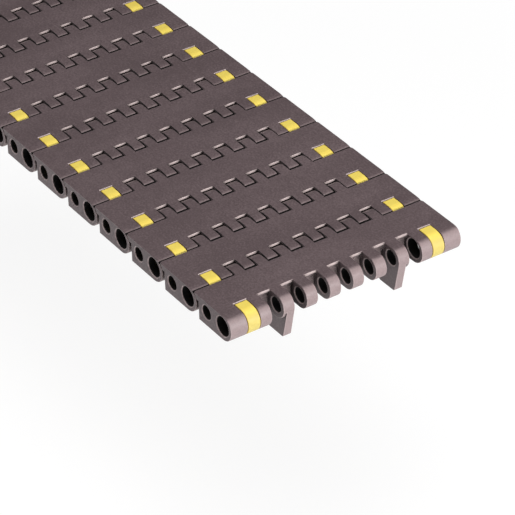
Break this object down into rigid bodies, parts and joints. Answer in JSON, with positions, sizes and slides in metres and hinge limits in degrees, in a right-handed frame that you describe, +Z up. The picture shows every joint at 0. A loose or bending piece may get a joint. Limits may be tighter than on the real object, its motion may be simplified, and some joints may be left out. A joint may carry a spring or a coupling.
{
  "type": "slat top chain",
  "caption": "Straight length of flat top conveyor chain with open comb hinges, side lock clips and positioner tabs underneath.",
  "frame": {"origin": "on the floor under the middle of the length, at the height of the positioner tabs' tips", "axes": "+X along the run towards the open front knuckles, +Y across the chain, +Z up from the tabs to the flat carrying face"},
  "size_m": [0.2378, 0.085, 0.0154],
  "materials": {
    "slat": "satin",
    "clip": "satin",
    "pin": "drawn"
  },
  "bodies": {
    "link_body_1": {"link_1": "slat"},
    "link_body_2": {"link_2": "slat", "hinge_pin_2": "pin"},
    "link_body_3": {"link_3": "slat", "hinge_pin_3": "pin"},
    "link_body_4": {"link_4": "slat", "hinge_pin_4": "pin"},
    "link_body_5": {"link_5": "slat", "hinge_pin_5": "pin"},
    "link_body_6": {"link_6": "slat", "hinge_pin_6": "pin"},
    "link_body_7": {"link_7": "slat", "hinge_pin_7": "pin"},
    "link_body_8": {"link_8": "slat", "hinge_pin_8": "pin"},
    "link_body_9": {"link_9": "slat", "hinge_pin_9": "pin"},
    "link_body_10": {"link_10": "slat", "hinge_pin_10": "pin"},
    "link_body_11": {"link_11": "slat", "hinge_pin_11": "pin"},
    "link_body_12": {"link_12": "slat", "hinge_pin_12": "pin"},
    "clip_body_left_1": {"lock_clip_left_1": "clip"},
    "clip_body_left_2": {"lock_clip_left_2": "clip"},
    "clip_body_left_3": {"lock_clip_left_3": "clip"},
    "clip_body_left_4": {"lock_clip_left_4": "clip"},
    "clip_body_left_5": {"lock_clip_left_5": "clip"},
    "clip_body_left_6": {"lock_clip_left_6": "clip"},
    "clip_body_left_7": {"lock_clip_left_7": "clip"},
    "clip_body_left_8": {"lock_clip_left_8": "clip"},
    "clip_body_left_9": {"lock_clip_left_9": "clip"},
    "clip_body_left_10": {"lock_clip_left_10": "clip"},
    "clip_body_left_11": {"lock_clip_left_11": "clip"},
    "clip_body_left_12": {"lock_clip_left_12": "clip"},
    "clip_body_right_1": {"lock_clip_right_1": "clip"},
    "clip_body_right_2": {"lock_clip_right_2": "clip"},
    "clip_body_right_3": {"lock_clip_right_3": "clip"},
    "clip_body_right_4": {"lock_clip_right_4": "clip"},
    "clip_body_right_5": {"lock_clip_right_5": "clip"},
    "clip_body_right_6": {"lock_clip_right_6": "clip"},
    "clip_body_right_7": {"lock_clip_right_7": "clip"},
    "clip_body_right_8": {"lock_clip_right_8": "clip"},
    "clip_body_right_9": {"lock_clip_right_9": "clip"},
    "clip_body_right_10": {"lock_clip_right_10": "clip"},
    "clip_body_right_11": {"lock_clip_right_11": "clip"},
    "clip_body_right_12": {"lock_clip_right_12": "clip"}
  },
  "joints": [
    {"name": "hinge_2", "type": "hinge", "parent": "link_body_2", "child": "link_body_1", "pos_m": [0.09508, 0, 0.0115], "axis": [0, 1, 0], "range_deg": [-5, 25]},
    {"name": "hinge_3", "type": "hinge", "parent": "link_body_3", "child": "link_body_2", "pos_m": [0.07602, 0, 0.0115], "axis": [0, 1, 0], "range_deg": [-5, 25]},
    {"name": "hinge_4", "type": "hinge", "parent": "link_body_4", "child": "link_body_3", "pos_m": [0.05697, 0, 0.0115], "axis": [0, 1, 0], "range_deg": [-5, 25]},
    {"name": "hinge_5", "type": "hinge", "parent": "link_body_5", "child": "link_body_4", "pos_m": [0.03793, 0, 0.0115], "axis": [0, 1, 0], "range_deg": [-5, 25]},
    {"name": "hinge_6", "type": "hinge", "parent": "link_body_6", "child": "link_body_5", "pos_m": [0.01887, 0, 0.0115], "axis": [0, 1, 0], "range_deg": [-5, 25]},
    {"name": "hinge_7", "type": "hinge", "parent": "link_body_6", "child": "link_body_7", "pos_m": [-0.00017, 0, 0.0115], "axis": [0, -1, 0], "range_deg": [-5, 25]},
    {"name": "hinge_8", "type": "hinge", "parent": "link_body_7", "child": "link_body_8", "pos_m": [-0.01922, 0, 0.0115], "axis": [0, -1, 0], "range_deg": [-5, 25]},
    {"name": "hinge_9", "type": "hinge", "parent": "link_body_8", "child": "link_body_9", "pos_m": [-0.03828, 0, 0.0115], "axis": [0, -1, 0], "range_deg": [-5, 25]},
    {"name": "hinge_10", "type": "hinge", "parent": "link_body_9", "child": "link_body_10", "pos_m": [-0.05733, 0, 0.0115], "axis": [0, -1, 0], "range_deg": [-5, 25]},
    {"name": "hinge_11", "type": "hinge", "parent": "link_body_10", "child": "link_body_11", "pos_m": [-0.07637, 0, 0.0115], "axis": [0, -1, 0], "range_deg": [-5, 25]},
    {"name": "hinge_12", "type": "hinge", "parent": "link_body_11", "child": "link_body_12", "pos_m": [-0.09542, 0, 0.0115], "axis": [0, -1, 0], "range_deg": [-5, 25]},
    {"name": "clip_latch_left_1", "type": "hinge", "parent": "link_body_1", "child": "clip_body_left_1", "pos_m": [0.10543, 0, 0.0115], "axis": [0, -1, 0], "range_deg": [-55, 0]},
    {"name": "clip_latch_left_2", "type": "hinge", "parent": "link_body_2", "child": "clip_body_left_2", "pos_m": [0.08637, 0, 0.0115], "axis": [0, -1, 0], "range_deg": [-55, 0]},
    {"name": "clip_latch_left_3", "type": "hinge", "parent": "link_body_3", "child": "clip_body_left_3", "pos_m": [0.06732, 0, 0.0115], "axis": [0, -1, 0], "range_deg": [-55, 0]},
    {"name": "clip_latch_left_4", "type": "hinge", "parent": "link_body_4", "child": "clip_body_left_4", "pos_m": [0.04827, 0, 0.0115], "axis": [0, -1, 0], "range_deg": [-55, 0]},
    {"name": "clip_latch_left_5", "type": "hinge", "parent": "link_body_5", "child": "clip_body_left_5", "pos_m": [0.02923, 0, 0.0115], "axis": [0, -1, 0], "range_deg": [-55, 0]},
    {"name": "clip_latch_left_6", "type": "hinge", "parent": "link_body_6", "child": "clip_body_left_6", "pos_m": [0.01018, 0, 0.0115], "axis": [0, -1, 0], "range_deg": [-55, 0]},
    {"name": "clip_latch_left_7", "type": "hinge", "parent": "link_body_7", "child": "clip_body_left_7", "pos_m": [-0.00887, 0, 0.0115], "axis": [0, -1, 0], "range_deg": [-55, 0]},
    {"name": "clip_latch_left_8", "type": "hinge", "parent": "link_body_8", "child": "clip_body_left_8", "pos_m": [-0.02792, 0, 0.0115], "axis": [0, -1, 0], "range_deg": [-55, 0]},
    {"name": "clip_latch_left_9", "type": "hinge", "parent": "link_body_9", "child": "clip_body_left_9", "pos_m": [-0.04698, 0, 0.0115], "axis": [0, -1, 0], "range_deg": [-55, 0]},
    {"name": "clip_latch_left_10", "type": "hinge", "parent": "link_body_10", "child": "clip_body_left_10", "pos_m": [-0.06603, 0, 0.0115], "axis": [0, -1, 0], "range_deg": [-55, 0]},
    {"name": "clip_latch_left_11", "type": "hinge", "parent": "link_body_11", "child": "clip_body_left_11", "pos_m": [-0.08507, 0, 0.0115], "axis": [0, -1, 0], "range_deg": [-55, 0]},
    {"name": "clip_latch_left_12", "type": "hinge", "parent": "link_body_12", "child": "clip_body_left_12", "pos_m": [-0.10412, 0, 0.0115], "axis": [0, -1, 0], "range_deg": [-55, 0]},
    {"name": "clip_latch_right_1", "type": "hinge", "parent": "link_body_1", "child": "clip_body_right_1", "pos_m": [0.10543, 0, 0.0115], "axis": [0, -1, 0], "range_deg": [-55, 0]},
    {"name": "clip_latch_right_2", "type": "hinge", "parent": "link_body_2", "child": "clip_body_right_2", "pos_m": [0.08637, 0, 0.0115], "axis": [0, -1, 0], "range_deg": [-55, 0]},
    {"name": "clip_latch_right_3", "type": "hinge", "parent": "link_body_3", "child": "clip_body_right_3", "pos_m": [0.06732, 0, 0.0115], "axis": [0, -1, 0], "range_deg": [-55, 0]},
    {"name": "clip_latch_right_4", "type": "hinge", "parent": "link_body_4", "child": "clip_body_right_4", "pos_m": [0.04827, 0, 0.0115], "axis": [0, -1, 0], "range_deg": [-55, 0]},
    {"name": "clip_latch_right_5", "type": "hinge", "parent": "link_body_5", "child": "clip_body_right_5", "pos_m": [0.02923, 0, 0.0115], "axis": [0, -1, 0], "range_deg": [-55, 0]},
    {"name": "clip_latch_right_6", "type": "hinge", "parent": "link_body_6", "child": "clip_body_right_6", "pos_m": [0.01018, 0, 0.0115], "axis": [0, -1, 0], "range_deg": [-55, 0]},
    {"name": "clip_latch_right_7", "type": "hinge", "parent": "link_body_7", "child": "clip_body_right_7", "pos_m": [-0.00887, 0, 0.0115], "axis": [0, -1, 0], "range_deg": [-55, 0]},
    {"name": "clip_latch_right_8", "type": "hinge", "parent": "link_body_8", "child": "clip_body_right_8", "pos_m": [-0.02792, 0, 0.0115], "axis": [0, -1, 0], "range_deg": [-55, 0]},
    {"name": "clip_latch_right_9", "type": "hinge", "parent": "link_body_9", "child": "clip_body_right_9", "pos_m": [-0.04698, 0, 0.0115], "axis": [0, -1, 0], "range_deg": [-55, 0]},
    {"name": "clip_latch_right_10", "type": "hinge", "parent": "link_body_10", "child": "clip_body_right_10", "pos_m": [-0.06603, 0, 0.0115], "axis": [0, -1, 0], "range_deg": [-55, 0]},
    {"name": "clip_latch_right_11", "type": "hinge", "parent": "link_body_11", "child": "clip_body_right_11", "pos_m": [-0.08507, 0, 0.0115], "axis": [0, -1, 0], "range_deg": [-55, 0]},
    {"name": "clip_latch_right_12", "type": "hinge", "parent": "link_body_12", "child": "clip_body_right_12", "pos_m": [-0.10412, 0, 0.0115], "axis": [0, -1, 0], "range_deg": [-55, 0]}
  ]
}
